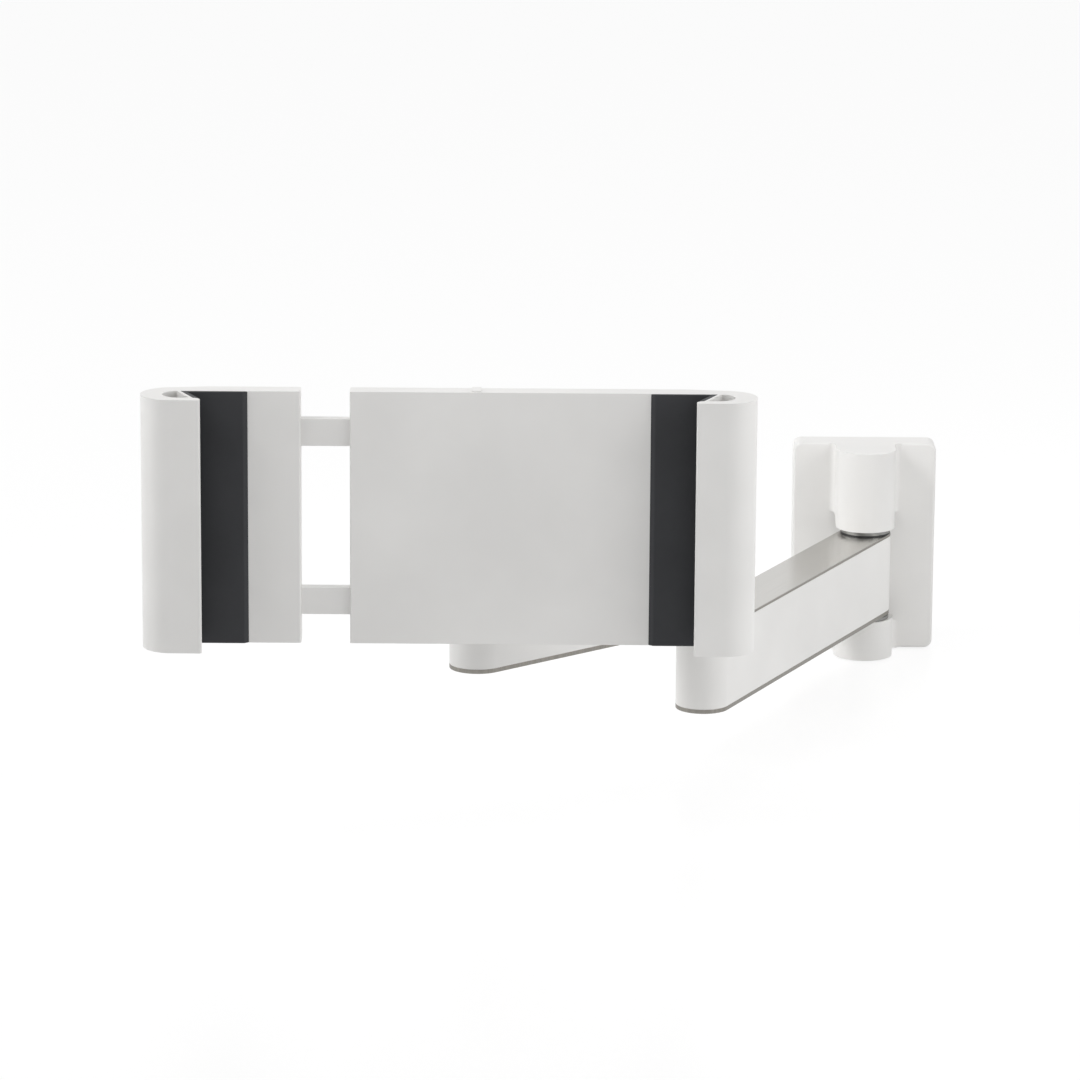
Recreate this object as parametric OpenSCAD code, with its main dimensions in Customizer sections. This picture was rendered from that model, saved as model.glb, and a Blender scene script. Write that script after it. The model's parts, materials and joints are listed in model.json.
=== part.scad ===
// Wall mount for a tablet: wall plate, two stacked arms, tilting head and a clamp holder.
// The origin is the centre of the wall plate's back face. +Y goes into the wall,
// +X is to the right and +Z is up. All sizes are in millimetres and degrees.

/* [Wall plate] */
// Width of the wall plate
plate_w = 54; // [50:1:70]
// Height of the wall plate
plate_h = 80; // [78:1:100]
// How far the plate stands out from the wall
plate_d = 11.5; // [11:0.5:12]
// Radius of the plate's four corners
plate_corner = 3; // [2:0.5:4]
// Rounding of the plate's front edge
plate_edge = 1.2; // [0.8:0.1:1.6]
// Wall thickness of the housing
housing_wall = 2.4; // [2:0.1:3]
// Distance of the hinge axis from the wall
pivot_out = 22.5; // [22:0.5:30]
// Radius of the two half-round barrels
barrel_r = 11.1; // [10:0.1:12]
// How far the barrels' centre lies behind the hinge axis
barrel_back = 1.5; // [0:0.1:2]
// Radius of the fillet between barrel and plate
flare_r = 2.5; // [1.5:0.1:4]
// Height of the cut-back under the barrel's web
web_cut = 4; // [2:0.5:6]
// Where that cut-back starts, behind the hinge axis
web_start = 4; // [3:0.5:6]
// Thickness of the steel bracket
bracket_t = 2; // [1.5:0.1:2.5]
// Length of the bracket's folded lips
lip_fold = 7; // [6:0.5:8]
// Distance between the wall screws, sideways
screw_span_x = 30; // [26:1:34]
// Distance between the wall screws, up and down
screw_span_z = 56; // [50:1:60]
// Diameter of the holes for the wall screws
wall_hole_d = 5; // [4:0.5:6]
// Distance between the two lock screws
lock_span = 32; // [26:1:36]

/* [Arms] */
// Distance between the hinges of the lower arm
lower_len = 154.5; // [120:0.5:200]
// Distance between the hinges of the upper arm
upper_len = 106; // [90:1:160]
// Turn of the lower arm away from straight out
lower_turn = 24.9; // [0:0.1:40]
// Turn of the upper arm away from straight out
upper_turn = 48.1; // [0:0.1:60]
// Radius of the arms' rounded ends
arm_r = 9.6; // [9.2:0.1:11]
// Height of an arm's white body
arm_h = 28.8; // [26:0.1:32]
// Thickness of the aluminium plate on top of an arm
trim_t = 1; // [0.8:0.1:1.5]
// Thickness of the aluminium plate under an arm
base_t = 1.5; // [1:0.1:1.8]
// How far the lower arm reaches below the wall plate's centre
arm_drop = 23.3; // [22:0.1:24]
// Wall thickness of an arm
arm_wall = 2.4; // [2:0.1:3]
// Thickness of the web at half height
web_t = 2; // [1.5:0.1:3]
// Thickness of the cross ribs
rib_t = 1.6; // [1.2:0.1:2]
// Distance between the cross ribs
rib_pitch = 24; // [18:1:32]
// Radius of the boss round each hinge
boss_r = 7.5; // [7.2:0.1:8]

/* [Hinges] */
// Radius of the hinge bolts
bolt_r = 3; // [2.5:0.1:3.2]
// Running clearance round a bolt
bolt_gap = 0.05; // [0.02:0.01:0.08]
// Radius of the bolt heads
bolt_head_r = 5; // [4.6:0.1:5.2]
// Height of the bolt heads
bolt_head_h = 4; // [3.5:0.1:4.2]
// Width across the flats of the nuts and hexagon heads
nut_af = 10; // [9:0.1:10.4]
// Height of the nuts
nut_h = 5; // [4:0.1:5.2]
// Outer radius of the bearing bushes
bush_r = 4.6; // [4.2:0.1:5]
// Length of one bush
bush_len = 9; // [7:0.5:10]
// Outer radius of the washers and pads
washer_r = 9.4; // [8.4:0.1:9.6]
// Thickness of the washers between barrel and arm, and under the head post
washer_t = 1.8; // [1.4:0.1:2.2]
// Thickness of the washer between the arms
elbow_washer_t = 1.4; // [1.2:0.1:2]
// Thickness of the black pads between those on the wall hinge and the arm
pad_t = 0.5; // [0.3:0.1:0.7]
// Depth of the pocket for a bolt head or nut
pocket_h = 6; // [5.6:0.1:7]
// Radius of the pocket for a bolt head or nut
pocket_r = 6.4; // [6.1:0.1:6.8]
// Radius of the threaded insert in the upper barrel
insert_r = 4.2; // [3.8:0.1:4.6]
// Length of the threaded insert
insert_len = 12; // [10:1:14]

/* [Head] */
// Height of the tilt axis above the upper arm
tilt_rise = 31.1; // [28:0.1:40]
// Distance from the head's axis to the holder's front face
head_reach = 46; // [44:0.5:60]
// Height of the post's round foot
foot_h = 4; // [3:0.5:6]
// How far the post's column is set in from the eye's faces
column_in = 0.5; // [0.2:0.1:1]
// Radius of the tilt eye
eye_r = 7.6; // [7:0.1:8.5]
// Width of the tilt eye
eye_w = 13; // [12:0.5:14]
// Thickness of the friction washers beside the eye
tilt_washer_t = 1.2; // [0.8:0.1:1.5]
// Thickness of the yoke's ears
ear_t = 4.6; // [4:0.1:6]
// Radius of the yoke's round flange
flange_r = 20; // [18:0.5:24]
// Thickness of the yoke's flange
flange_t = 4.4; // [4:0.1:6]
// Radius of the friction washer behind the holder
turn_washer_r = 14; // [12:0.5:16]
// Thickness of the friction washer behind the holder
turn_washer_t = 1.2; // [0.8:0.1:1.6]
// Height of the round hub on the holder's back
hub_h = 3; // [2:0.5:4]
// Solid left between the post's bore and its eye
post_cap = 4; // [3:0.5:6]

/* [Holder] */
// Height of the holder
holder_h = 85; // [80:1:110]
// Thickness of the holder's plates
holder_t = 7.6; // [7.4:0.1:8.2]
// Distance from the head's axis to the fixed hook's centre
hook_reach = 81.6; // [78:0.1:90]
// Distance from the head's axis to the main plate's open end
plate_reach = 41.6; // [40:0.1:50]
// Open gap between the main plate and the sliding jaw
jaw_gap = 16.2; // [10:0.1:30]
// Distance from the sliding plate's end to its hook's centre
jaw_reach = 41.7; // [40:0.1:50]
// How far the hooks' lips stand in front of the plate
lip_out = 15; // [14.8:0.1:15.2]
// How far the hooks' round walls stand behind the plate's front face
hook_back = 5.8; // [5.4:0.1:6.2]
// Length of the slope from the plate's back to a hook's round wall
slope_len = 12; // [11.5:0.5:14]
// Distance from the hook's centre to the tip of its lip
lip_reach = 9.7; // [9.4:0.1:10.4]
// Rounding of a lip's outer corner
lip_round = 0.8; // [0.4:0.1:1]
// Rounding of a lip's inner corner
lip_inner = 2.8; // [2:0.1:2.8]
// Clear depth between plate and lip
groove_d = 10.9; // [10.6:0.1:11]
// Thickness of the plates' front wall
front_wall = 1.4; // [1.2:0.1:1.6]
// Thickness of the holder's side walls
side_wall = 2; // [1.6:0.1:2.4]
// Thickness of the thin slanted wall inside a hook
slant_wall = 1.2; // [1:0.1:1.4]
// Slant of that wall from the plate to the lip
slant = 4.8; // [4.4:0.1:5]
// Distance from the hook's centre to the foot of that wall
slant_in = 1.2; // [1:0.1:1.4]
// Distance from the hook's centre to the centre of its hollow
hollow_in = 2.3; // [2:0.1:2.6]
// Thickness of the back covers
cover_t = 1.8; // [1.5:0.1:2]
// Thickness of the rubber on the plates
liner_t = 1.2; // [1:0.1:1.5]
// How far the rubber reaches along the plate from the hook's centre
liner_reach = 24.5; // [18:0.1:26]
// Width of the bevel at the end of that rubber
liner_bevel = 1.5; // [1:0.1:2]
// Thickness of the rubber on the slanted wall
liner_wedge = 1.9; // [1.4:0.1:2.2]

/* [Rails and springs] */
// Height of a rail
rail_w = 9; // [8:0.1:10]
// Depth of a rail
rail_t = 4.2; // [3.8:0.1:4.2]
// Distance of each rail's middle from the holder's edge
rail_edge = 14; // [13:0.1:15]
// Length of a rail inside the main plate
rail_in = 76.6; // [60:0.1:80]
// Clearance beside the rails
rail_gap = 0.1; // [0.05:0.01:0.2]
// Thickness of the slide strips above and below the rails
guide_t = 1.4; // [1:0.1:1.6]
// Length of the slide strips
guide_len = 14; // [10:1:18]
// Mean radius of the springs
spring_r = 1.6; // [1.4:0.1:1.7]
// Thickness of the spring wire
wire_d = 0.7; // [0.5:0.1:0.8]
// Number of turns of a spring
turns = 14; // [10:1:16]
// Thickness of the tab that each spring pushes on
tab_t = 3; // [2:0.5:4]

/* [Small screws] */
// Radius of the small screws
screw_r = 1.25; // [1:0.05:1.4]
// Radius of the small screws' heads
screw_head_r = 2.3; // [2:0.1:2.4]
// Height of the small screws' heads
screw_head_h = 1.1; // [0.9:0.1:1.2]
// Distance of the cover screws from the inside of the upper and lower walls
screw_in = 3.3; // [3:0.1:3.8]
// Distance of the cover screws from the main plate's open end
screw_end = 12; // [10:0.5:16]
// Distance of the other cover screws from the end of the main plate's hollow
screw_side = 8; // [6:0.5:12]
// Distance of the jaw's screws and pegs from the ends of its hollow
jaw_screw_in = 6; // [5:0.1:7]

/* [Hidden] */
$fn = 64;
hull_fn = 32;
seam = 0.02;
cut = 1;
fit_gap = 0.1;
head_gap = 0.5;
plug_gap = 0.05;
bolt_spare = 0.5;
screw_spare = 0.2;
screw_past = 2;
pilot_floor = 0.4;
end_round = 0.6;
hole_r = bolt_r + bolt_gap;
trim_hole_r = bolt_r + 1;
lower_z = -arm_drop + base_t;
upper_z = lower_z + arm_h + trim_t + elbow_washer_t + base_t;
upper_top = upper_z + arm_h + trim_t;
barrel_low_end = -arm_drop - washer_t;
barrel_up_start = lower_z + arm_h + trim_t + washer_t;
elbow_x = -lower_len * sin(lower_turn);
elbow_y = -pivot_out - lower_len * cos(lower_turn);
head_x = elbow_x - upper_len * sin(upper_turn);
head_y = elbow_y - upper_len * cos(upper_turn);
post_z = upper_top + washer_t;
tilt_z = upper_top + tilt_rise;
front_y = head_y - head_reach;
column_r = eye_w / 2 - column_in;
plug_t = 1.4;
pivot_head_z = -plate_h / 2 + plug_t + bolt_head_h;
pivot_end = barrel_up_start + cut + insert_len;
cavity_d = plate_d - housing_wall;
bracket_w = plate_w - 2 * housing_wall - 2 * fit_gap;
bracket_h = plate_h - 2 * housing_wall;
cover_y = holder_t - cover_t;
screw_off = holder_h / 2 - side_wall - screw_in;
hub_y = holder_t + hub_h;
flange_y = hub_y + turn_washer_t;
flange_back = flange_y + flange_t;
hook_r = (lip_out + hook_back) / 2;
hook_mid = lip_out - hook_r;
slope_h = holder_t + hook_mid;
slope_a = 180 - atan(slope_h / slope_len) - acos(hook_r / norm([slope_len, slope_h]));
slope_end = [hook_r * cos(slope_a), hook_r * sin(slope_a) - hook_mid];
wall_x = slant_in + slant_wall;
pocket_z = holder_h / 2 - side_wall;
hook_solid = 1;
pocket_right = hook_reach - slope_len - hook_solid;
jaw_edge = -plate_reach - jaw_gap;
jaw_hook = jaw_edge - jaw_reach;
jaw_pocket = jaw_hook + slope_len + hook_solid;
rail_y = front_wall + rail_gap;
rail_off = holder_h / 2 - rail_edge;
rail_start = jaw_pocket + head_gap;
rail_end = -plate_reach + rail_in;
spring_gap = 0.3;
collar = 2 * spring_r + wire_d + 2 * spring_gap;
guide_rib = 1;
guide_off = rail_w / 2 + rail_gap + guide_t / 2;
spring_z = rail_off - guide_off - guide_t / 2 - guide_rib - collar / 2 - rail_gap;
tab_h = rail_off - rail_w / 2 + seam - spring_z + collar / 2;
tab_mid = spring_z - collar / 2 + tab_h / 2;
spring_y = (front_wall + cover_y) / 2;
spring_start = -plate_reach + side_wall + wire_d / 2;
spring_len = rail_end - tab_t - wire_d / 2 - seam - spring_start;
hub_rib = 2 * (spring_z - collar);
hub_rib_x = bolt_head_r + 3;
hub_rim = 2;
nub_w = 3;
nub_h = 0.5;

// Places of the assemblies
module on_wall_hinge() { translate([0, -pivot_out, 0]) children(); }
module on_elbow() { translate([elbow_x, elbow_y, 0]) children(); }
module on_head() { translate([head_x, head_y, 0]) children(); }
module along_lower() { on_wall_hinge() rotate([0, 0, 270 - lower_turn]) children(); }
module along_upper() { on_elbow() rotate([0, 0, 270 - upper_turn]) children(); }
module on_holder() { translate([head_x, front_y, tilt_z]) children(); }
module on_tilt() { translate([head_x, head_y, tilt_z]) children(); }

// Shared shapes
module ring(outer, inner, h) {
  difference() {
    cylinder(r = outer, h = h);
    translate([0, 0, -cut]) cylinder(r = inner, h = h + 2 * cut);
  }
}

module hexagon(af, h) { cylinder(d = af / cos(30), h = h, $fn = 6); }

module stadium(len, r) {
  circle(r = r);
  translate([len, 0]) circle(r = r);
  translate([0, -r]) square([len, 2 * r]);
}

module nut(h) {
  difference() {
    hexagon(nut_af, h);
    translate([0, 0, -cut]) cylinder(r = hole_r, h = h + 2 * cut);
  }
}

// A socket-head bolt that points up from the underside of its head
module socket_bolt(len) {
  translate([0, 0, -bolt_head_h]) difference() {
    cylinder(r = bolt_head_r, h = bolt_head_h);
    translate([0, 0, -cut]) hexagon(nut_af / 2, bolt_head_h / 2 + cut);
  }
  cylinder(r = bolt_r, h = len);
}

// A small screw with a flat head, its shaft along +Z and the head's top at z = 0
module small_screw(len) {
  difference() {
    cylinder(r = screw_head_r, h = screw_head_h);
    translate([0, 0, -cut]) hexagon(screw_head_r, screw_head_h / 2 + cut);
  }
  cylinder(r = screw_r, h = len);
}

// Wall side
module plate_block() {
  edge_mid = plate_edge * (1 - sin(45));
  rotate([90, 0, 0]) hull() for (x = [-1, 1], z = [-1, 1])
    translate([x * (plate_w / 2 - plate_corner), z * (plate_h / 2 - plate_corner), 0]) {
      cylinder(r = plate_corner - plate_edge / 4, h = plate_edge / 4, $fn = hull_fn);
      cylinder(r = plate_corner, h = plate_d - plate_edge, $fn = hull_fn);
      cylinder(r = plate_corner - edge_mid, h = plate_d - edge_mid, $fn = hull_fn);
      cylinder(r = plate_corner - plate_edge, h = plate_d, $fn = hull_fn);
    }
}

// Plan of a barrel: a half circle on a web that flares into the plate
module barrel_plan() {
  translate([0, barrel_back]) circle(r = barrel_r);
  translate([-barrel_r, barrel_back])
    square([2 * barrel_r, pivot_out - plate_d - barrel_back + cut]);
  difference() {
    translate([-barrel_r - flare_r, pivot_out - plate_d - flare_r])
      square([2 * (barrel_r + flare_r), flare_r + cut]);
    for (x = [-1, 1])
      translate([x * (barrel_r + flare_r), pivot_out - plate_d - flare_r]) circle(r = flare_r);
  }
}

module web_wedge() {
  run = pivot_out - plate_d;
  rotate([90, 0, 90]) translate([0, 0, -plate_w / 2]) linear_extrude(plate_w)
    polygon([[web_start, -seam], [run, web_cut], [run, -cut], [web_start, -cut]]);
}

module wall_housing() {
  color("#F1F0EE") difference() {
    union() {
      plate_block();
      on_wall_hinge() difference() {
        union() {
          translate([0, 0, barrel_up_start])
            linear_extrude(plate_h / 2 - barrel_up_start) barrel_plan();
          translate([0, 0, -plate_h / 2])
            linear_extrude(barrel_low_end + plate_h / 2) barrel_plan();
        }
        translate([0, 0, barrel_up_start]) web_wedge();
        translate([0, 0, barrel_low_end]) mirror([0, 0, 1]) web_wedge();
      }
    }
    translate([-plate_w / 2 + housing_wall, -cavity_d, -plate_h / 2 + housing_wall])
      cube([plate_w - 2 * housing_wall, cavity_d + cut, plate_h - 2 * housing_wall]);
    on_wall_hinge() {
      translate([0, 0, -plate_h / 2 - cut])
        cylinder(r = bolt_head_r + head_gap, h = pivot_head_z + plate_h / 2 + cut);
      translate([0, 0, -plate_h / 2]) cylinder(r = hole_r, h = pivot_end + plate_h / 2 + cut);
      translate([0, 0, barrel_up_start]) cylinder(r = insert_r + seam, h = insert_len + cut);
    }
    for (x = [-1, 1]) translate([x * lock_span / 2, -lip_fold / 2, -plate_h / 2 - cut]) {
      cylinder(r = screw_head_r + 2 * fit_gap, h = screw_head_h + cut);
      cylinder(r = screw_r + seam, h = housing_wall + 2 * cut);
    }
  }
}

module wall_bracket() {
  color("#B9BCBE") difference() {
    union() {
      translate([-bracket_w / 2, -bracket_t, -bracket_h / 2])
        cube([bracket_w, bracket_t, bracket_h]);
      for (z = [-1, 1]) translate([-bracket_w / 2, -lip_fold, z * (bracket_h - bracket_t) / 2])
        translate([0, 0, -bracket_t / 2]) cube([bracket_w, lip_fold, bracket_t]);
    }
    for (x = [-1, 1], z = [-1, 1])
      translate([x * screw_span_x / 2, cut, z * screw_span_z / 2])
        rotate([90, 0, 0]) cylinder(d = wall_hole_d, h = bracket_t + 2 * cut);
    for (x = [-1, 1])
      translate([x * lock_span / 2, -lip_fold / 2, -bracket_h / 2 - cut])
        cylinder(r = screw_r + seam, h = bracket_t + 2 * cut);
  }
}

module lock_screws() {
  color("#8E9194") for (x = [-1, 1])
    translate([x * lock_span / 2, -lip_fold / 2, -plate_h / 2])
      small_screw(housing_wall + bracket_t + screw_past);
}

module wall_pivot_bolt() {
  color("#8E9194") on_wall_hinge() translate([0, 0, pivot_head_z])
    socket_bolt(pivot_end - pivot_head_z);
}

module pivot_insert() {
  color("#C8A860") on_wall_hinge() translate([0, 0, barrel_up_start + cut])
    ring(insert_r, hole_r, insert_len);
}

module pivot_plug() {
  color("#F1F0EE") on_wall_hinge() translate([0, 0, -plate_h / 2])
    cylinder(r = bolt_head_r + head_gap - plug_gap, h = plug_t);
}

// Steel washers on the barrels
module wall_washers() {
  color("#A9ACAE") on_wall_hinge() for (z = [barrel_low_end, barrel_up_start - washer_t + pad_t])
    translate([0, 0, z]) ring(washer_r, hole_r, washer_t - pad_t);
}

// Black pads between those washers and the arm
module wall_pads() {
  color("#1B1B1C") on_wall_hinge() for (z = [-arm_drop - pad_t, barrel_up_start - washer_t])
    translate([0, 0, z]) ring(washer_r, hole_r, pad_t);
}

// An arm's body: a ribbed box with a boss at each hinge
module arm_box(len) {
  difference() {
    linear_extrude(arm_h) stadium(len, arm_r);
    difference() {
      translate([0, 0, -cut]) linear_extrude(arm_h + 2 * cut) stadium(len, arm_r - arm_wall);
      translate([0, -arm_r, (arm_h - web_t) / 2]) cube([len, 2 * arm_r, web_t]);
      for (x = [rib_pitch : rib_pitch : len - rib_pitch / 2])
        translate([x - rib_t / 2, -arm_r, 0]) cube([rib_t, 2 * arm_r, arm_h]);
      for (x = [0, len]) translate([x, 0, 0]) cylinder(r = boss_r, h = arm_h);
    }
  }
}

// A trim plate of an arm, with a hole where a bolt passes
module arm_trim(len, thick, holes) {
  linear_extrude(thick) difference() {
    stadium(len, arm_r);
    for (x = holes) translate([x, 0]) circle(r = trim_hole_r);
  }
}

module lower_arm_body() {
  color("#EFEEEC") along_lower() translate([0, 0, lower_z]) difference() {
    arm_box(lower_len);
    translate([0, 0, -cut]) cylinder(r = bush_r + seam, h = arm_h + 2 * cut);
    translate([lower_len, 0, -cut]) {
      cylinder(r = hole_r, h = arm_h + 2 * cut);
      cylinder(r = pocket_r, h = bolt_head_h + cut);
    }
  }
}

module lower_arm_top_plate() {
  color("#BDBCB8") along_lower() translate([0, 0, lower_z + arm_h])
    arm_trim(lower_len, trim_t, [0, lower_len]);
}

module lower_arm_bottom_plate() {
  color("#BDBCB8") along_lower() translate([0, 0, lower_z - base_t])
    arm_trim(lower_len, base_t, [0]);
}

module lower_arm_bushes() {
  color("#2A2A2B") on_wall_hinge() for (z = [0, arm_h - bush_len])
    translate([0, 0, lower_z + z]) ring(bush_r, hole_r, bush_len);
}

module elbow_bolt() {
  color("#8E9194") on_elbow() translate([0, 0, lower_z]) {
    hexagon(nut_af, bolt_head_h);
    cylinder(r = bolt_r, h = upper_z + arm_h - bolt_spare - lower_z);
  }
}

module elbow_nut() {
  color("#8E9194") on_elbow() translate([0, 0, upper_z + arm_h - pocket_h]) nut(nut_h);
}

module elbow_washer() {
  color("#1B1B1C") on_elbow() translate([0, 0, upper_z - base_t - elbow_washer_t])
    ring(washer_r, hole_r, elbow_washer_t);
}

module upper_arm_body() {
  color("#EFEEEC") along_upper() translate([0, 0, upper_z]) difference() {
    arm_box(upper_len);
    for (x = [0, upper_len]) translate([x, 0, -cut])
      cylinder(r = bush_r + seam, h = arm_h + 2 * cut);
    translate([0, 0, arm_h - pocket_h]) cylinder(r = pocket_r, h = pocket_h + cut);
    translate([upper_len, 0, -cut]) cylinder(r = pocket_r, h = pocket_h + cut);
  }
}

module upper_arm_top_plate() {
  color("#BDBCB8") along_upper() translate([0, 0, upper_z + arm_h])
    arm_trim(upper_len, trim_t, [upper_len]);
}

module upper_arm_bottom_plate() {
  color("#BDBCB8") along_upper() translate([0, 0, upper_z - base_t])
    arm_trim(upper_len, base_t, [0]);
}

module upper_arm_bushes() {
  color("#2A2A2B") {
    on_elbow() for (z = [0, arm_h - pocket_h - bush_len])
      translate([0, 0, upper_z + z]) ring(bush_r, hole_r, bush_len);
    on_head() for (z = [pocket_h, arm_h - bush_len])
      translate([0, 0, upper_z + z]) ring(bush_r, hole_r, bush_len);
  }
}

// Head
module head_washer() {
  color("#1B1B1C") on_head() translate([0, 0, upper_top]) ring(washer_r, hole_r, washer_t);
}

module head_post() {
  foot_round = 1;
  fillet = 2;
  color("#E9E8E6") on_head() difference() {
    union() {
      translate([0, 0, post_z]) rotate_extrude() {
        square([arm_r - foot_round, foot_h]);
        square([arm_r, foot_h - foot_round]);
        translate([arm_r - foot_round, foot_h - foot_round]) circle(r = foot_round);
        difference() {
          square([column_r + fillet, foot_h + fillet]);
          translate([column_r + fillet, foot_h + fillet]) circle(r = fillet);
        }
      }
      translate([0, 0, post_z]) cylinder(r = column_r, h = tilt_z - post_z);
      translate([-eye_w / 2, 0, tilt_z]) rotate([0, 90, 0]) cylinder(r = eye_r, h = eye_w);
    }
    translate([0, 0, post_z - cut]) cylinder(r = hole_r, h = tilt_rise - eye_r - post_cap + cut);
    translate([-eye_w, 0, tilt_z]) rotate([0, 90, 0]) cylinder(r = hole_r, h = 2 * eye_w);
  }
}

module head_bolt() {
  color("#8E9194") on_head() translate([0, 0, upper_z + pocket_h])
    socket_bolt(post_z + tilt_rise - eye_r - post_cap - bolt_spare - upper_z - pocket_h);
}

module tilt_yoke() {
  ear_x = eye_w / 2 + tilt_washer_t;
  ear_reach = head_reach - flange_back;
  color("#2B2C2E") on_tilt() difference() {
    union() {
      translate([0, -ear_reach, 0]) rotate([90, 0, 0]) cylinder(r = flange_r, h = flange_t);
      for (x = [-ear_x - ear_t, ear_x]) translate([x, 0, 0]) {
        rotate([0, 90, 0]) cylinder(r = eye_r, h = ear_t);
        translate([0, -ear_reach - seam, -eye_r]) cube([ear_t, ear_reach + seam, 2 * eye_r]);
      }
    }
    translate([-head_reach / 2, 0, 0]) rotate([0, 90, 0]) cylinder(r = hole_r, h = head_reach);
    translate([0, -ear_reach + cut, 0]) rotate([90, 0, 0])
      cylinder(r = hole_r, h = flange_t + 2 * cut);
  }
}

module tilt_bolt() {
  ear_out = eye_w / 2 + tilt_washer_t + ear_t;
  color("#8E9194") on_tilt() translate([-ear_out, 0, 0]) rotate([0, 90, 0])
    socket_bolt(2 * ear_out + nut_h + bolt_spare);
}

module tilt_nut() {
  color("#8E9194") on_tilt() translate([eye_w / 2 + tilt_washer_t + ear_t, 0, 0])
    rotate([0, 90, 0]) nut(nut_h);
}

module tilt_washers() {
  color("#1B1B1C") on_tilt() for (x = [-eye_w / 2 - tilt_washer_t, eye_w / 2])
    translate([x, 0, 0]) rotate([0, 90, 0]) ring(eye_r - head_gap, hole_r, tilt_washer_t);
}

// Holder. Local x runs along the plate, y = 0 is its front face and z = 0 its middle.
// Plan of a hook on the right: a round wall with a lip, a hollow and a slanted inner wall
module hook_plan(mid) {
  translate([mid, 0]) difference() {
    union() {
      difference() {
        union() {
          translate([0, -hook_mid]) circle(r = hook_r);
          polygon([[-slope_len, 0], [-slope_len, holder_t], slope_end, [0, -hook_mid]]);
        }
        translate([-hook_r - cut, -lip_out - cut])
          square([hook_r + cut, lip_out - groove_d + cut]);
      }
      lip_plan();
    }
    hook_hollow();
    polygon([[-slope_len - cut, 0], [-wall_x, 0], [-wall_x - slant, -groove_d],
      [-slope_len - cut, -groove_d]]);
  }
}

// Plan of a lip, with its two rounded corners
module lip_plan() {
  lip_t = lip_out - groove_d;
  translate([0, -lip_out]) {
    translate([-lip_reach + lip_inner, 0]) square([lip_reach - lip_inner, lip_t]);
    translate([-lip_reach + lip_round, 0]) square([lip_inner, lip_t - lip_inner]);
    translate([-lip_reach, lip_round]) square([lip_inner, lip_t - lip_inner - lip_round]);
    translate([-lip_reach + lip_round, lip_round]) circle(r = lip_round);
    difference() {
      translate([-lip_reach + lip_inner, lip_t - lip_inner]) circle(r = lip_inner);
      translate([-lip_reach - cut, lip_round - 2 * lip_inner])
        square([2 * (lip_inner + cut), 2 * lip_inner]);
    }
  }
}

// The hollow between a hook's round wall and its slanted wall
module hook_hollow() {
  difference() {
    union() {
      translate([-hollow_in, -groove_d / 2]) circle(r = groove_d / 2);
      polygon([[-hollow_in, -groove_d / 2], [-hollow_in, -groove_d],
        [-slant_in - slant, -groove_d], [-slant_in - slant / 2, -groove_d / 2]]);
    }
    polygon([[-slant_in, 0], [-slant_in - slant, -groove_d], [-slope_len, -groove_d],
      [-slope_len, 0]]);
  }
}

// Plan of the rubber on a right-hand hook and its plate
module liner_plan(mid) {
  translate([mid, 0]) polygon([[-liner_reach, 0], [-wall_x, 0], [-wall_x - slant, -groove_d],
    [-wall_x - slant - liner_wedge, -groove_d],
    [-wall_x - liner_wedge - slant * liner_t / groove_d, -liner_t],
    [-liner_reach + liner_bevel, -liner_t]]);
}

module upright(h) { translate([0, 0, -h / 2]) linear_extrude(h) children(); }

module screw_post(x, z) {
  translate([x, front_wall - seam, z]) rotate([-90, 0, 0])
    cylinder(r = screw_head_r, h = cover_y - front_wall + seam);
}

module screw_pilot(x, z) {
  translate([x, front_wall + pilot_floor, z]) rotate([-90, 0, 0])
    cylinder(r = screw_r + seam, h = holder_t);
}

// Hollow between front wall and back cover
module plate_pocket(left, right) {
  translate([left, front_wall, -pocket_z])
    cube([right - left, holder_t - front_wall + cut, 2 * pocket_z]);
}

module rail_slots(x) {
  for (z = [-1, 1]) translate([x - cut, front_wall, z * rail_off - rail_w / 2 - rail_gap])
    cube([side_wall + 2 * cut, rail_t + 2 * rail_gap, rail_w + 2 * rail_gap]);
}

// Plan of a plate that runs from its rounded open end at x = 0 to the right
module plate_plan(len) {
  translate([end_round, 0]) square([len - end_round, holder_t]);
  translate([0, end_round]) square([2 * end_round, holder_t - 2 * end_round]);
  for (y = [end_round, holder_t - end_round]) translate([end_round, y]) circle(r = end_round);
}

holder_screw_x = [-plate_reach + screw_end, pocket_right - screw_side];
module holder_shell() {
  color("#EDECEA") on_holder() {
    difference() {
      union() {
        upright(holder_h) {
          hook_plan(hook_reach);
          translate([-plate_reach, 0]) plate_plan(plate_reach + hook_reach - slope_len);
        }
        translate([-nub_w / 2, end_round, holder_h / 2 - seam])
          cube([nub_w, holder_t - 2 * end_round, nub_h + seam]);
      }
      plate_pocket(-plate_reach + side_wall, pocket_right);
      rail_slots(-plate_reach);
    }
    difference() {
      for (x = holder_screw_x, z = [-1, 1]) screw_post(x, z * screw_off);
      for (x = holder_screw_x, z = [-1, 1]) screw_pilot(x, z * screw_off);
    }
    for (z = [-1, 1], s = [-1, 1])
      translate([-plate_reach + side_wall - seam, front_wall - seam,
        z * rail_off + s * (guide_off + (guide_t + guide_rib) / 2) - guide_rib / 2])
        cube([guide_len, cover_y - front_wall, guide_rib]);
    for (x = [-1, 1]) translate([x * hub_rib_x - rib_t / 2, front_wall - seam, -hub_rib / 2])
      cube([rib_t, cover_y - front_wall, hub_rib]);
  }
}

module holder_back_cover() {
  color("#E4E3E1") on_holder() difference() {
    union() {
      cover_plate(-plate_reach + side_wall, pocket_right);
      translate([0, cover_y, 0]) rotate([-90, 0, 0])
        cylinder(r = turn_washer_r + hub_rim, h = cover_t + hub_h);
    }
    translate([0, cover_y - cut, 0]) rotate([-90, 0, 0])
      cylinder(r = hole_r, h = cover_t + hub_h + 2 * cut);
    for (x = holder_screw_x, z = [-1, 1]) cover_hole(x, z * screw_off);
  }
}

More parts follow.
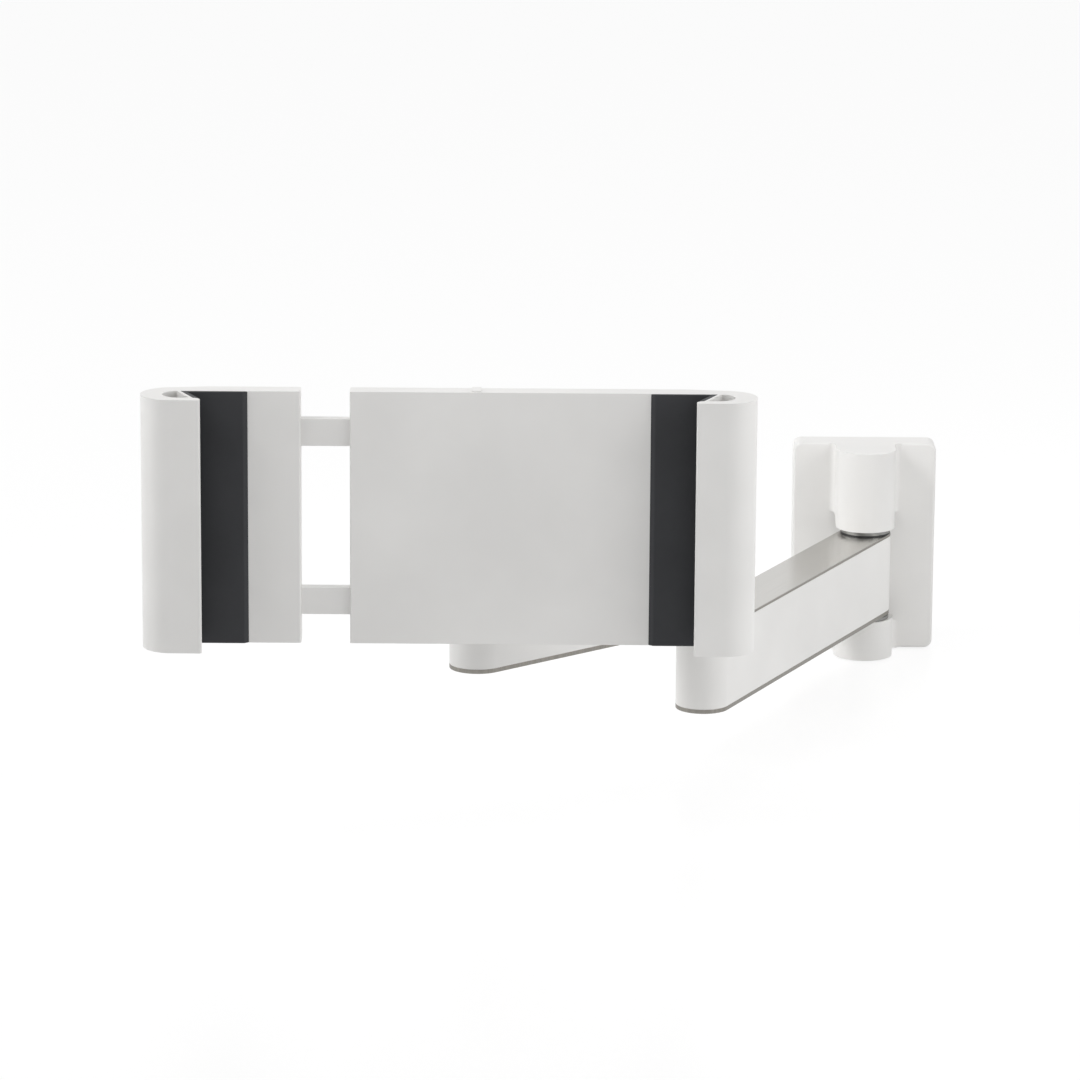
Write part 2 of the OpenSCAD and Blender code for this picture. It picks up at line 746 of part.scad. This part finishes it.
// A flat cover that closes a hollow from left to right
module cover_plate(left, right) {
  translate([left + fit_gap, cover_y, -pocket_z + fit_gap])
    cube([right - left - 2 * fit_gap, cover_t, 2 * (pocket_z - fit_gap)]);
}

// A hole in a cover with a recess for the screw's head
module cover_hole(x, z) {
  translate([x, cover_y - cut, z]) rotate([-90, 0, 0])
    cylinder(r = screw_r + seam, h = holder_t);
  translate([x, holder_t - screw_head_h, z]) rotate([-90, 0, 0])
    cylinder(r = screw_head_r + fit_gap, h = holder_t);
}

module back_screw(x, z) {
  translate([x, holder_t, z]) rotate([90, 0, 0])
    small_screw(holder_t - front_wall - pilot_floor - screw_spare);
}

module cover_screws() {
  color("#8E9194") on_holder() for (x = holder_screw_x, z = [-1, 1]) back_screw(x, z * screw_off);
}

module holder_liner() {
  color("#232325") on_holder() upright(holder_h) liner_plan(hook_reach);
}

module rotation_bolt() {
  color("#8E9194") on_holder() translate([0, cover_y - bolt_head_h, 0]) rotate([-90, 0, 0]) {
    hexagon(nut_af, bolt_head_h);
    cylinder(r = bolt_r, h = bolt_head_h + flange_back + nut_h + bolt_spare - cover_y);
  }
}

module rotation_nut() {
  color("#8E9194") on_holder() translate([0, flange_back, 0]) rotate([-90, 0, 0]) nut(nut_h);
}

module rotation_washer() {
  color("#1B1B1C") on_holder() translate([0, hub_y, 0]) rotate([-90, 0, 0])
    ring(turn_washer_r, hole_r, turn_washer_t);
}

module rail_guides() {
  color("#2A2A2B") on_holder() for (z = [-1, 1], s = [-1, 1])
    translate([-plate_reach + side_wall, front_wall,
      z * rail_off + s * guide_off - guide_t / 2])
      cube([guide_len, cover_y - front_wall - fit_gap, guide_t]);
}

// A coil spring along +X, swept as a closed tube
module coil_spring(len) {
  steps = 8;
  sides = 5;
  rings = turns * steps;
  points = [for (i = [0 : rings], k = [0 : sides - 1])
    let (a = 360 * i / steps, b = 360 * k / sides, r = spring_r + wire_d / 2 * cos(b))
    [len * i / rings + wire_d / 2 * sin(b), r * cos(a), r * sin(a)]];
  walls = [for (i = [0 : rings - 1], k = [0 : sides - 1])
    let (n = (k + 1) % sides)
    [i * sides + k, i * sides + n, (i + 1) * sides + n, (i + 1) * sides + k]];
  ends = [[for (k = [sides - 1 : -1 : 0]) k], [for (k = [0 : sides - 1]) rings * sides + k]];
  polyhedron(points, concat(walls, ends), convexity = 10);
}

module jaw_springs() {
  color("#A9ACAE") on_holder() for (z = [-1, 1])
    translate([spring_start, spring_y, z * spring_z]) coil_spring(spring_len);
}

// Sliding jaw
jaw_screw_x = [jaw_edge - side_wall - jaw_screw_in, jaw_pocket + jaw_screw_in];
module jaw_shell() {
  color("#EDECEA") on_holder() {
    difference() {
      upright(holder_h) mirror([1, 0]) {
        hook_plan(-jaw_hook);
        translate([-jaw_edge, 0]) plate_plan(jaw_reach - slope_len);
      }
      plate_pocket(jaw_pocket, jaw_edge - side_wall);
      rail_slots(jaw_edge - side_wall);
    }
    difference() {
      for (x = jaw_screw_x, z = [-1, 1]) screw_post(x, z * screw_off);
      for (x = jaw_screw_x, z = [-1, 1]) screw_pilot(x, z * screw_off);
    }
    for (x = jaw_screw_x, z = [-1, 1]) translate([x, front_wall - seam, z * rail_off])
      rotate([-90, 0, 0]) cylinder(r = screw_r, h = rail_t);
  }
}

module jaw_back_cover() {
  color("#E4E3E1") on_holder() difference() {
    cover_plate(jaw_pocket, jaw_edge - side_wall);
    for (x = jaw_screw_x, z = [-1, 1]) cover_hole(x, z * screw_off);
  }
}

module jaw_screws() {
  color("#8E9194") on_holder() for (x = jaw_screw_x, z = [-1, 1]) back_screw(x, z * screw_off);
}

module jaw_liner() {
  color("#232325") on_holder() upright(holder_h) mirror([1, 0]) liner_plan(-jaw_hook);
}

// Both rails, each with a side tab that its spring pushes on
module jaw_rails() {
  color("#E6E5E3") on_holder() for (z = [-1, 1]) difference() {
    union() {
      translate([rail_start, rail_y, z * rail_off - rail_w / 2])
        cube([rail_end - rail_start, rail_t, rail_w]);
      translate([rail_end - tab_t, rail_y, z * tab_mid - tab_h / 2])
        cube([tab_t, rail_t, tab_h]);
    }
    for (x = jaw_screw_x) translate([x, 0, z * rail_off]) rotate([-90, 0, 0])
      cylinder(r = screw_r + plug_gap, h = holder_t);
  }
}

wall_bracket();
wall_housing();
lock_screws();
wall_pivot_bolt();
pivot_insert();
pivot_plug();
wall_washers();
wall_pads();
lower_arm_body();
lower_arm_top_plate();
lower_arm_bottom_plate();
lower_arm_bushes();
elbow_bolt();
elbow_nut();
elbow_washer();
upper_arm_body();
upper_arm_top_plate();
upper_arm_bottom_plate();
upper_arm_bushes();
head_washer();
head_post();
head_bolt();
tilt_yoke();
tilt_bolt();
tilt_nut();
tilt_washers();
holder_shell();
holder_back_cover();
cover_screws();
holder_liner();
rotation_bolt();
rotation_nut();
rotation_washer();
rail_guides();
jaw_springs();
jaw_shell();
jaw_back_cover();
jaw_screws();
jaw_liner();
jaw_rails();
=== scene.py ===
import json
import math

import bpy
from mathutils import Matrix, Vector

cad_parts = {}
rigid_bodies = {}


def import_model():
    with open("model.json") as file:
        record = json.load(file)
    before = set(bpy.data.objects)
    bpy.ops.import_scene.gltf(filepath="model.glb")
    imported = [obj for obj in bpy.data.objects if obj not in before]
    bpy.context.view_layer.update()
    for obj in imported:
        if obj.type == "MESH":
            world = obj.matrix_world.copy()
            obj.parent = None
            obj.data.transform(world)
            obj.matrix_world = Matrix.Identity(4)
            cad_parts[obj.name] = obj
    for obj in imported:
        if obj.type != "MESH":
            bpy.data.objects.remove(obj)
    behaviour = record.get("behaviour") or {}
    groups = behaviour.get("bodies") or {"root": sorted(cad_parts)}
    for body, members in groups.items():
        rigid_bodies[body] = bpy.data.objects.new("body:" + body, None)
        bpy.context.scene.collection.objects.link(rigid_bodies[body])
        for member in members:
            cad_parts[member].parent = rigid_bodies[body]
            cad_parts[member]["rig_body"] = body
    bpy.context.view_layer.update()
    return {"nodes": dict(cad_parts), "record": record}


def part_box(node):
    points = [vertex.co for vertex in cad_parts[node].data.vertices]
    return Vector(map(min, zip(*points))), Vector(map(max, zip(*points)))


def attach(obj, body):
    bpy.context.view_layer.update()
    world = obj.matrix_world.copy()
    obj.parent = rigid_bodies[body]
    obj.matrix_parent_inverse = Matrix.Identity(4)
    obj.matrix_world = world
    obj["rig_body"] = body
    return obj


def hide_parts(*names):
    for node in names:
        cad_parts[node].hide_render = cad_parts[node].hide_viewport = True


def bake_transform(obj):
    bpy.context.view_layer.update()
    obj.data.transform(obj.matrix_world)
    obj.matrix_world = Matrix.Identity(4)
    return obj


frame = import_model()
nodes = frame["nodes"]
print("frame loaded:", len(nodes), "nodes")

mm = 0.001


def hexColor(text):
    # sRGB hex to the linear values that shaders take
    parts = [int(text[i:i + 2], 16) / 255 for i in (1, 3, 5)]
    linear = [p / 12.92 if p <= 0.04045 else ((p + 0.055) / 1.055) ** 2.4 for p in parts]
    return (*linear, 1.0)


def setInputs(tree, node, values):
    # each input gets a plain value or a link from another node's socket
    for key, value in values.items():
        if isinstance(value, bpy.types.NodeSocket):
            tree.links.new(value, node.inputs[key])
        else:
            node.inputs[key].default_value = value


def addNode(tree, kind, inputs=None, stops=(), **settings):
    # one shader node with its settings and inputs; stops are a color ramp's (place, color) pairs
    node = tree.nodes.new(kind)
    for key, value in settings.items():
        setattr(node, key, value)
    setInputs(tree, node, inputs or {})
    for i, (place, color) in enumerate(stops):
        node.color_ramp.elements[i].position = place
        node.color_ramp.elements[i].color = hexColor(color)
    return node


def startMaterial(name):
    # a material with only its Principled shader and its output
    material = bpy.data.materials.new(name)
    material.use_nodes = True
    tree = material.node_tree
    tree.nodes.clear()
    shader = addNode(tree, "ShaderNodeBsdfPrincipled")
    addNode(tree, "ShaderNodeOutputMaterial", {"Surface": shader.outputs[0]})
    coords = addNode(tree, "ShaderNodeTexCoord").outputs["Object"]
    return material, tree, shader, coords


# in the looks: colors in sRGB, pattern sizes and the depth of a relief in mm
absLook = {"light": "#ECEBE9", "shade": "#E6E5E3", "cloud": 45, "grain": 0.35, "relief": 0.06,
           "strength": 0.12, "smoothest": 0.3, "roughest": 0.42}


def whiteAbs():
    # ABS, injection moulded: white with a fine spark-eroded grain that gives soft, wide highlights
    material, tree, shader, coords = startMaterial("moulded white ABS")
    tone = addNode(tree, "ShaderNodeTexNoise", {
        "Vector": coords, "Scale": 1 / (absLook["cloud"] * mm), "Detail": 3.0})
    grain = addNode(tree, "ShaderNodeTexNoise", {
        "Vector": coords, "Scale": 1 / (absLook["grain"] * mm), "Detail": 2.0, "Roughness": 0.6})
    color = addNode(tree, "ShaderNodeValToRGB", {"Fac": tone.outputs["Fac"]},
                    stops=[(0.35, absLook["shade"]), (0.65, absLook["light"])])
    rough = addNode(tree, "ShaderNodeMapRange", {
        "Value": grain.outputs["Fac"], "To Min": absLook["smoothest"],
        "To Max": absLook["roughest"]})
    relief = addNode(tree, "ShaderNodeBump", {
        "Height": grain.outputs["Fac"], "Strength": absLook["strength"],
        "Distance": absLook["relief"] * mm})
    setInputs(tree, shader, {"Base Color": color.outputs["Color"],
                             "Roughness": rough.outputs["Result"],
                             "Normal": relief.outputs["Normal"], "IOR": 1.53})
    return material


coatLook = {"light": "#E9E8E6", "shade": "#E2E0DE", "cloud": 25, "peel": 1.4, "relief": 0.1,
            "strength": 0.25, "roughness": 0.34}


def powderCoat():
    # Polyester powder coat on a zinc casting: satin white with a faint orange peel
    material, tree, shader, coords = startMaterial("white powder coat")
    peel = addNode(tree, "ShaderNodeTexNoise", {
        "Vector": coords, "Scale": 1 / (coatLook["peel"] * mm), "Detail": 1.0})
    tone = addNode(tree, "ShaderNodeTexNoise", {
        "Vector": coords, "Scale": 1 / (coatLook["cloud"] * mm)})
    color = addNode(tree, "ShaderNodeValToRGB", {"Fac": tone.outputs["Fac"]},
                    stops=[(0.3, coatLook["shade"]), (0.7, coatLook["light"])])
    relief = addNode(tree, "ShaderNodeBump", {
        "Height": peel.outputs["Fac"], "Strength": coatLook["strength"],
        "Distance": coatLook["relief"] * mm})
    setInputs(tree, shader, {"Base Color": color.outputs["Color"],
                             "Normal": relief.outputs["Normal"],
                             "Roughness": coatLook["roughness"], "IOR": 1.5})
    return material


castLook = {"light": "#2C2D30", "shade": "#232426", "cloud": 16, "pebble": 0.7, "relief": 0.1,
            "strength": 0.25, "roughness": 0.45}


def blackCast():
    # Black powder coat on a zinc casting: dark satin with a fine pebble that breaks the highlights
    material, tree, shader, coords = startMaterial("black powder coat")
    pebble = addNode(tree, "ShaderNodeTexVoronoi", {
        "Vector": coords, "Scale": 1 / (castLook["pebble"] * mm)})
    tone = addNode(tree, "ShaderNodeTexNoise", {
        "Vector": coords, "Scale": 1 / (castLook["cloud"] * mm)})
    color = addNode(tree, "ShaderNodeValToRGB", {"Fac": tone.outputs["Fac"]},
                    stops=[(0.3, castLook["shade"]), (0.7, castLook["light"])])
    relief = addNode(tree, "ShaderNodeBump", {
        "Height": pebble.outputs["Distance"], "Strength": castLook["strength"],
        "Distance": castLook["relief"] * mm})
    setInputs(tree, shader, {"Base Color": color.outputs["Color"],
                             "Normal": relief.outputs["Normal"],
                             "Roughness": castLook["roughness"]})
    return material


brushLook = {"light": "#C6C4C0", "shade": "#BCBAB6", "roughness": 0.23, "line": 0.4, "length": 70}
# sides of the trim plates: a darker grey that is painted shade, a painted dark reflection of the
# front
edgeShadeLook = {"light": "#93908A", "shade": "#827F79", "roughness": 0.34, "line": 0.3, "length": 3}
brushRelief = {"depth": 0.02, "strength": 0.05, "layer": 20}


def brushedAluminium(name, angle, look):
    # Anodised aluminium sheet, brushed along the arm: fine lines that stretch the reflections.
    # Real brushing is under 0.1 mm wide; the lines are drawn wider, so that they show
    material, tree, shader, coords = startMaterial(name)
    turned = addNode(tree, "ShaderNodeMapping", {
        "Vector": coords, "Rotation": (0, 0, angle),
        "Scale": (look["length"] * mm, look["line"] * mm, brushRelief["layer"] * mm)},
        vector_type="TEXTURE")
    lines = addNode(tree, "ShaderNodeTexNoise", {
        "Vector": turned.outputs[0], "Scale": 1.0, "Detail": 3.0, "Roughness": 0.6})
    color = addNode(tree, "ShaderNodeValToRGB", {"Fac": lines.outputs["Fac"]},
                    stops=[(0.3, look["shade"]), (0.7, look["light"])])
    rough = addNode(tree, "ShaderNodeMapRange", {
        "Value": lines.outputs["Fac"], "To Min": look["roughness"] - 0.04,
        "To Max": look["roughness"] + 0.06})
    relief = addNode(tree, "ShaderNodeBump", {
        "Height": lines.outputs["Fac"], "Strength": brushRelief["strength"],
        "Distance": brushRelief["depth"] * mm})
    setInputs(tree, shader, {"Base Color": color.outputs["Color"],
                             "Roughness": rough.outputs["Result"],
                             "Normal": relief.outputs["Normal"], "Metallic": 1.0})
    return material


zincLook = {"light": "#8F8F8E", "shade": "#82827F", "cloud": 3, "smoothest": 0.24,
            "roughest": 0.42}


def zincSteel():
    # Zinc-plated steel: plain grey metal with a slightly cloudy sheen
    material, tree, shader, coords = startMaterial("zinc-plated steel")
    cloud = addNode(tree, "ShaderNodeTexNoise", {
        "Vector": coords, "Scale": 1 / (zincLook["cloud"] * mm), "Detail": 4.0})
    color = addNode(tree, "ShaderNodeValToRGB", {"Fac": cloud.outputs["Fac"]},
                    stops=[(0.3, zincLook["shade"]), (0.7, zincLook["light"])])
    rough = addNode(tree, "ShaderNodeMapRange", {
        "Value": cloud.outputs["Fac"], "To Min": zincLook["smoothest"],
        "To Max": zincLook["roughest"]})
    setInputs(tree, shader, {"Base Color": color.outputs["Color"],
                             "Roughness": rough.outputs["Result"], "Metallic": 1.0})
    return material


brassLook = {"light": "#D2B36B", "shade": "#B8954C", "ring": 0.5, "roughness": 0.3}


def turnedBrass():
    # Turned brass: warm metal with soft rings from the lathe, one every 2 pi times ring
    material, tree, shader, coords = startMaterial("turned brass")
    rings = addNode(tree, "ShaderNodeTexWave", {
        "Vector": coords, "Scale": 1 / (20 * brassLook["ring"] * mm)}, bands_direction="Z")
    color = addNode(tree, "ShaderNodeValToRGB", {"Fac": rings.outputs["Fac"]},
                    stops=[(0.0, brassLook["shade"]), (1.0, brassLook["light"])])
    setInputs(tree, shader, {"Base Color": color.outputs["Color"],
                             "Roughness": brassLook["roughness"], "Metallic": 1.0})
    return material


rubberLook = {"light": "#303134", "shade": "#26272A", "bloom": 28, "grain": 0.5, "relief": 0.1,
              "strength": 0.25, "roughness": 0.62}


def blackRubber():
    # Silicone rubber, moulded in a blasted tool: near black, dull, with a soft pale bloom
    material, tree, shader, coords = startMaterial("moulded black rubber")
    bloom = addNode(tree, "ShaderNodeTexNoise", {
        "Vector": coords, "Scale": 1 / (rubberLook["bloom"] * mm), "Detail": 4.0})
    grain = addNode(tree, "ShaderNodeTexNoise", {
        "Vector": coords, "Scale": 1 / (rubberLook["grain"] * mm)})
    color = addNode(tree, "ShaderNodeValToRGB", {"Fac": bloom.outputs["Fac"]},
                    stops=[(0.3, rubberLook["shade"]), (0.7, rubberLook["light"])])
    relief = addNode(tree, "ShaderNodeBump", {
        "Height": grain.outputs["Fac"], "Strength": rubberLook["strength"],
        "Distance": rubberLook["relief"] * mm})
    setInputs(tree, shader, {"Base Color": color.outputs["Color"],
                             "Normal": relief.outputs["Normal"],
                             "Roughness": rubberLook["roughness"], "IOR": 1.43})
    return material


acetalLook = {"light": "#1E1E20", "shade": "#161617", "cloud": 8, "roughness": 0.3}


def blackAcetal():
    # Acetal pads, washers and bushes: black, smooth and slightly waxy
    material, tree, shader, coords = startMaterial("black acetal")
    tone = addNode(tree, "ShaderNodeTexNoise", {
        "Vector": coords, "Scale": 1 / (acetalLook["cloud"] * mm)})
    color = addNode(tree, "ShaderNodeValToRGB", {"Fac": tone.outputs["Fac"]},
                    stops=[(0.3, acetalLook["shade"]), (0.7, acetalLook["light"])])
    setInputs(tree, shader, {"Base Color": color.outputs["Color"],
                             "Roughness": acetalLook["roughness"], "IOR": 1.48})
    return material


def centreOf(node):
    low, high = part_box(node)
    return (low + high) / 2


# each arm is brushed along the line between its two hinges
wallHinge, elbow, head = (centreOf(n) for n in ("wall_pads", "elbow_washer", "head_washer"))
lowerAngle = math.atan2(wallHinge.y - elbow.y, wallHinge.x - elbow.x)
upperAngle = math.atan2(elbow.y - head.y, elbow.x - head.x)
lowerTrim = brushedAluminium("brushed aluminium, lower arm", lowerAngle, brushLook)
upperTrim = brushedAluminium("brushed aluminium, upper arm", upperAngle, brushLook)
# the trim plates' sides: darker grey as painted shade, a painted dark reflection
paintedShadeEdge = brushedAluminium("aluminium edge, painted dark reflection", 0.0, edgeShadeLook)
finishes = {"white_plastic": whiteAbs(), "white_cast": powderCoat(), "black_cast": blackCast(),
            "aluminium_trim": lowerTrim, "zinc_steel": zincSteel(), "brass": turnedBrass(),
            "black_rubber": blackRubber(), "black_acetal": blackAcetal()}
slotOf = {row["node"]: row["material_slot"] for row in frame["record"]["subparts"]}
for name, thing in nodes.items():
    thing.data.materials.clear()
    thing.data.materials.append(finishes[slotOf[name]])
print("materials made:", len(finishes))


def deselectAll():
    for thing in bpy.context.selected_objects:
        thing.select_set(False)


# merge in mm, flat, bevelFrom and smooth in degrees
finishLook = {"merge": 0.01, "flat": 0.5, "bevelFrom": 32, "segments": 2, "smooth": 28}


def mergedCopy(node, name, flatten):
    # the CAD node's own shape as a new piece, its doubles merged and its flat faces whole again
    deselectAll()
    piece = bpy.data.objects.new(name, nodes[node].data.copy())
    bpy.context.scene.collection.objects.link(piece)
    bpy.context.view_layer.objects.active = piece
    piece.select_set(True)
    bpy.ops.object.mode_set(mode="EDIT")
    bpy.ops.mesh.select_all(action="SELECT")
    bpy.ops.mesh.remove_doubles(threshold=finishLook["merge"] * mm)
    if flatten:
        bpy.ops.mesh.dissolve_limited(angle_limit=math.radians(finishLook["flat"]))
    bpy.ops.object.mode_set(mode="OBJECT")
    return piece


def finishedCopy(node, width, material=None):
    # a copy with softened edges, as the mould or the tumbler leaves them
    piece = mergedCopy(node, node + "_finished", flatten=True)
    bevel = piece.modifiers.new("soft edge", "BEVEL")
    bevel.width = width * mm
    bevel.segments = finishLook["segments"]
    bevel.limit_method = "ANGLE"
    bevel.angle_limit = math.radians(finishLook["bevelFrom"])
    bevel.use_clamp_overlap = True
    bpy.ops.object.modifier_apply(modifier=bevel.name)
    bpy.ops.object.shade_smooth_by_angle(angle=math.radians(finishLook["smooth"]))
    weighted = piece.modifiers.new("flat faces stay flat", "WEIGHTED_NORMAL")
    weighted.keep_sharp = True
    bpy.ops.object.modifier_apply(modifier=weighted.name)
    piece.data.materials.clear()
    piece.data.materials.append(material or finishes[slotOf[node]])
    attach(piece, nodes[node]["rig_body"])
    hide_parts(node)
    return piece


# mm: width of each piece's soft edge
softened = {"wall_housing": 0.5, "wall_washers": 0.2, "wall_pads": 0.1, "pivot_plug": 0.3,
            "lower_arm_body": 0.25, "upper_arm_body": 0.25, "elbow_washer": 0.2,
            "head_washer": 0.2, "head_post": 0.4, "tilt_yoke": 0.5, "tilt_bolt": 0.3,
            "tilt_nut": 0.3, "tilt_washers": 0.2, "rotation_nut": 0.3, "rotation_bolt": 0.3,
            "rotation_washer": 0.2, "holder_shell": 0.4, "jaw_shell": 0.4,
            "holder_back_cover": 0.3, "jaw_back_cover": 0.3, "cover_screws": 0.15,
            "jaw_screws": 0.15, "lock_screws": 0.15, "holder_liner": 0.25, "jaw_liner": 0.25,
            "jaw_rails": 0.4}
for node, width in softened.items():
    finishedCopy(node, width)


def paintEdgeShade(piece):
    # the narrow, sheared sides of a trim plate get a darker grey: painted shade, a painted dark
    # reflection
    piece.data.materials.append(paintedShadeEdge)
    bpy.ops.object.mode_set(mode="EDIT")
    bpy.ops.mesh.select_all(action="DESELECT")
    bpy.ops.object.mode_set(mode="OBJECT")
    for face in piece.data.polygons:
        face.select = abs(face.normal.z) < 0.5
    bpy.ops.object.mode_set(mode="EDIT")
    piece.active_material_index = 1
    bpy.ops.object.material_slot_assign()
    bpy.ops.object.mode_set(mode="OBJECT")


trimPlate = {"edge": 0.15, "lower": lowerTrim, "upper": upperTrim}
for arm in ("lower", "upper"):
    for side in ("top", "bottom"):
        paintEdgeShade(finishedCopy(f"{arm}_arm_{side}_plate", trimPlate["edge"], trimPlate[arm]))


springLook = {"node": "jaw_springs", "smooth": 60}


def followingSprings():
    # the tabs of the rails push the springs together; the copy is merged, smoothed and left where
    # the CAD places it, not attached to the jaw
    node = springLook["node"]
    piece = mergedCopy(node, node + "_finished", flatten=False)
    bpy.ops.object.shade_smooth_by_angle(angle=math.radians(springLook["smooth"]))
    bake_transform(piece)
    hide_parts(node)


followingSprings()
print("pieces finished:", len(softened) + 5)


# eye in metres, turns in degrees, lens and sensor in mm
cameraSpot = {"eye": (-0.11987, -1.98738, 0.46944), "yaw": -0.10, "pitch": 13.326, "roll": 0.366,
              "lens": 177.41, "sensor": 36.0, "nearest": 0.01}


def addCamera():
    data = bpy.data.cameras.new("camera")
    data.lens = cameraSpot["lens"]
    data.sensor_width = cameraSpot["sensor"]
    data.clip_start = cameraSpot["nearest"]
    camera = bpy.data.objects.new("camera", data)
    bpy.context.scene.collection.objects.link(camera)
    turn = (Matrix.Rotation(math.radians(-cameraSpot["yaw"]), 4, "Z")
            @ Matrix.Rotation(math.radians(90 - cameraSpot["pitch"]), 4, "X")
            @ Matrix.Rotation(math.radians(cameraSpot["roll"]), 4, "Z"))
    camera.matrix_world = Matrix.Translation(cameraSpot["eye"]) @ turn
    bpy.context.scene.camera = camera


def seenShare(tree):
    # 1 for camera, mirror and see-through rays, 0 where only the light on the object counts
    path = addNode(tree, "ShaderNodeLightPath")
    seen = addNode(tree, "ShaderNodeMath", {
        0: path.outputs["Is Camera Ray"], 1: path.outputs["Is Glossy Ray"]}, operation="MAXIMUM")
    also = addNode(tree, "ShaderNodeMath", {
        0: seen.outputs[0], 1: path.outputs["Is Transmission Ray"]}, operation="MAXIMUM")
    return also.outputs[0]


# size in metres, below in mm; share of the glow that is mixed in where the floor is seen
floorLook = {"size": 12, "below": 0.5, "color": "#F4F4F4", "roughness": 0.25, "glow": 1.1,
             "share": 0.72}


def addFloor():
    # a pale glossy floor just under the wall plate
    deselectAll()
    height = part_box("wall_housing")[0].z - floorLook["below"] * mm
    bpy.ops.mesh.primitive_plane_add(size=floorLook["size"], location=(0, 0, height))
    floor = bpy.context.active_object
    floor.name = "floor"
    bpy.ops.object.transform_apply(location=True, rotation=False, scale=False)
    material, tree, shader, coords = startMaterial("pale studio floor")
    setInputs(tree, shader, {"Base Color": hexColor(floorLook["color"]),
                             "Roughness": floorLook["roughness"]})
    glow = addNode(tree, "ShaderNodeEmission", {
        "Color": (1, 1, 1, 1), "Strength": floorLook["glow"]})
    share = addNode(tree, "ShaderNodeMath", {0: seenShare(tree), 1: floorLook["share"]},
                    operation="MULTIPLY")
    mix = addNode(tree, "ShaderNodeMixShader", {
        "Fac": share.outputs[0], 1: shader.outputs[0], 2: glow.outputs[0]})
    output = next(n for n in tree.nodes if n.type == "OUTPUT_MATERIAL")
    setInputs(tree, output, {"Surface": mix.outputs[0]})
    floor.data.materials.append(material)


worldLook = {"onObject": 0.35, "seen": 1.0}


def addWorld():
    # plain white all round, dimmer as light on the object than as background
    world = bpy.data.worlds.new("studio")
    world.use_nodes = True
    tree = world.node_tree
    tree.nodes.clear()
    level = addNode(tree, "ShaderNodeMapRange", {
        "Value": seenShare(tree), "To Min": worldLook["onObject"], "To Max": worldLook["seen"]})
    back = addNode(tree, "ShaderNodeBackground", {
        "Color": (1, 1, 1, 1), "Strength": level.outputs["Result"]})
    addNode(tree, "ShaderNodeOutputWorld", {"Surface": back.outputs[0]})
    bpy.context.scene.world = world


# places and sizes in metres, power in watts, spread in degrees
middle = (-0.1, -0.17, 0.03)
lamps = [
    {"name": "left softbox", "place": (-1.5, -0.2, 0.4), "size": (1.2, 1.4), "power": 8.4},
    {"name": "right softbox", "place": (1.4, -0.3, 0.4), "size": (1.2, 1.4), "power": 1.9},
    {"name": "top softbox", "place": (-0.1, -0.1, 1.6), "size": (1.6, 1.4), "power": 5.0},
    {"name": "front softbox", "place": (-0.1, -1.2, 1.4), "size": (1.2, 0.8), "power": 1.6},
    {"name": "right front panel", "place": (0.6, -0.6, 0.45), "size": (0.5, 0.5), "power": 2.56},
    {"name": "wall plate panel", "place": (-0.5, -0.32, 0.5), "size": (0.3, 0.3), "power": 0.19,
     "target": (-0.005, -0.02, 0.03), "spread": 50},
]


def addLamp(name, place, size, power, target=middle, spread=180):
    data = bpy.data.lights.new(name, "AREA")
    data.shape = "RECTANGLE"
    data.size, data.size_y = size
    data.energy = power
    data.spread = math.radians(spread)
    lamp = bpy.data.objects.new(name, data)
    bpy.context.scene.collection.objects.link(lamp)
    lamp.location = place
    lamp.rotation_euler = (Vector(target) - Vector(place)).to_track_quat("-Z", "Y").to_euler()


addCamera()
addFloor()
addWorld()
for lamp in lamps:
    addLamp(**lamp)
bpy.context.scene.view_settings.view_transform = "Standard"
print("camera, floor and lamps set")
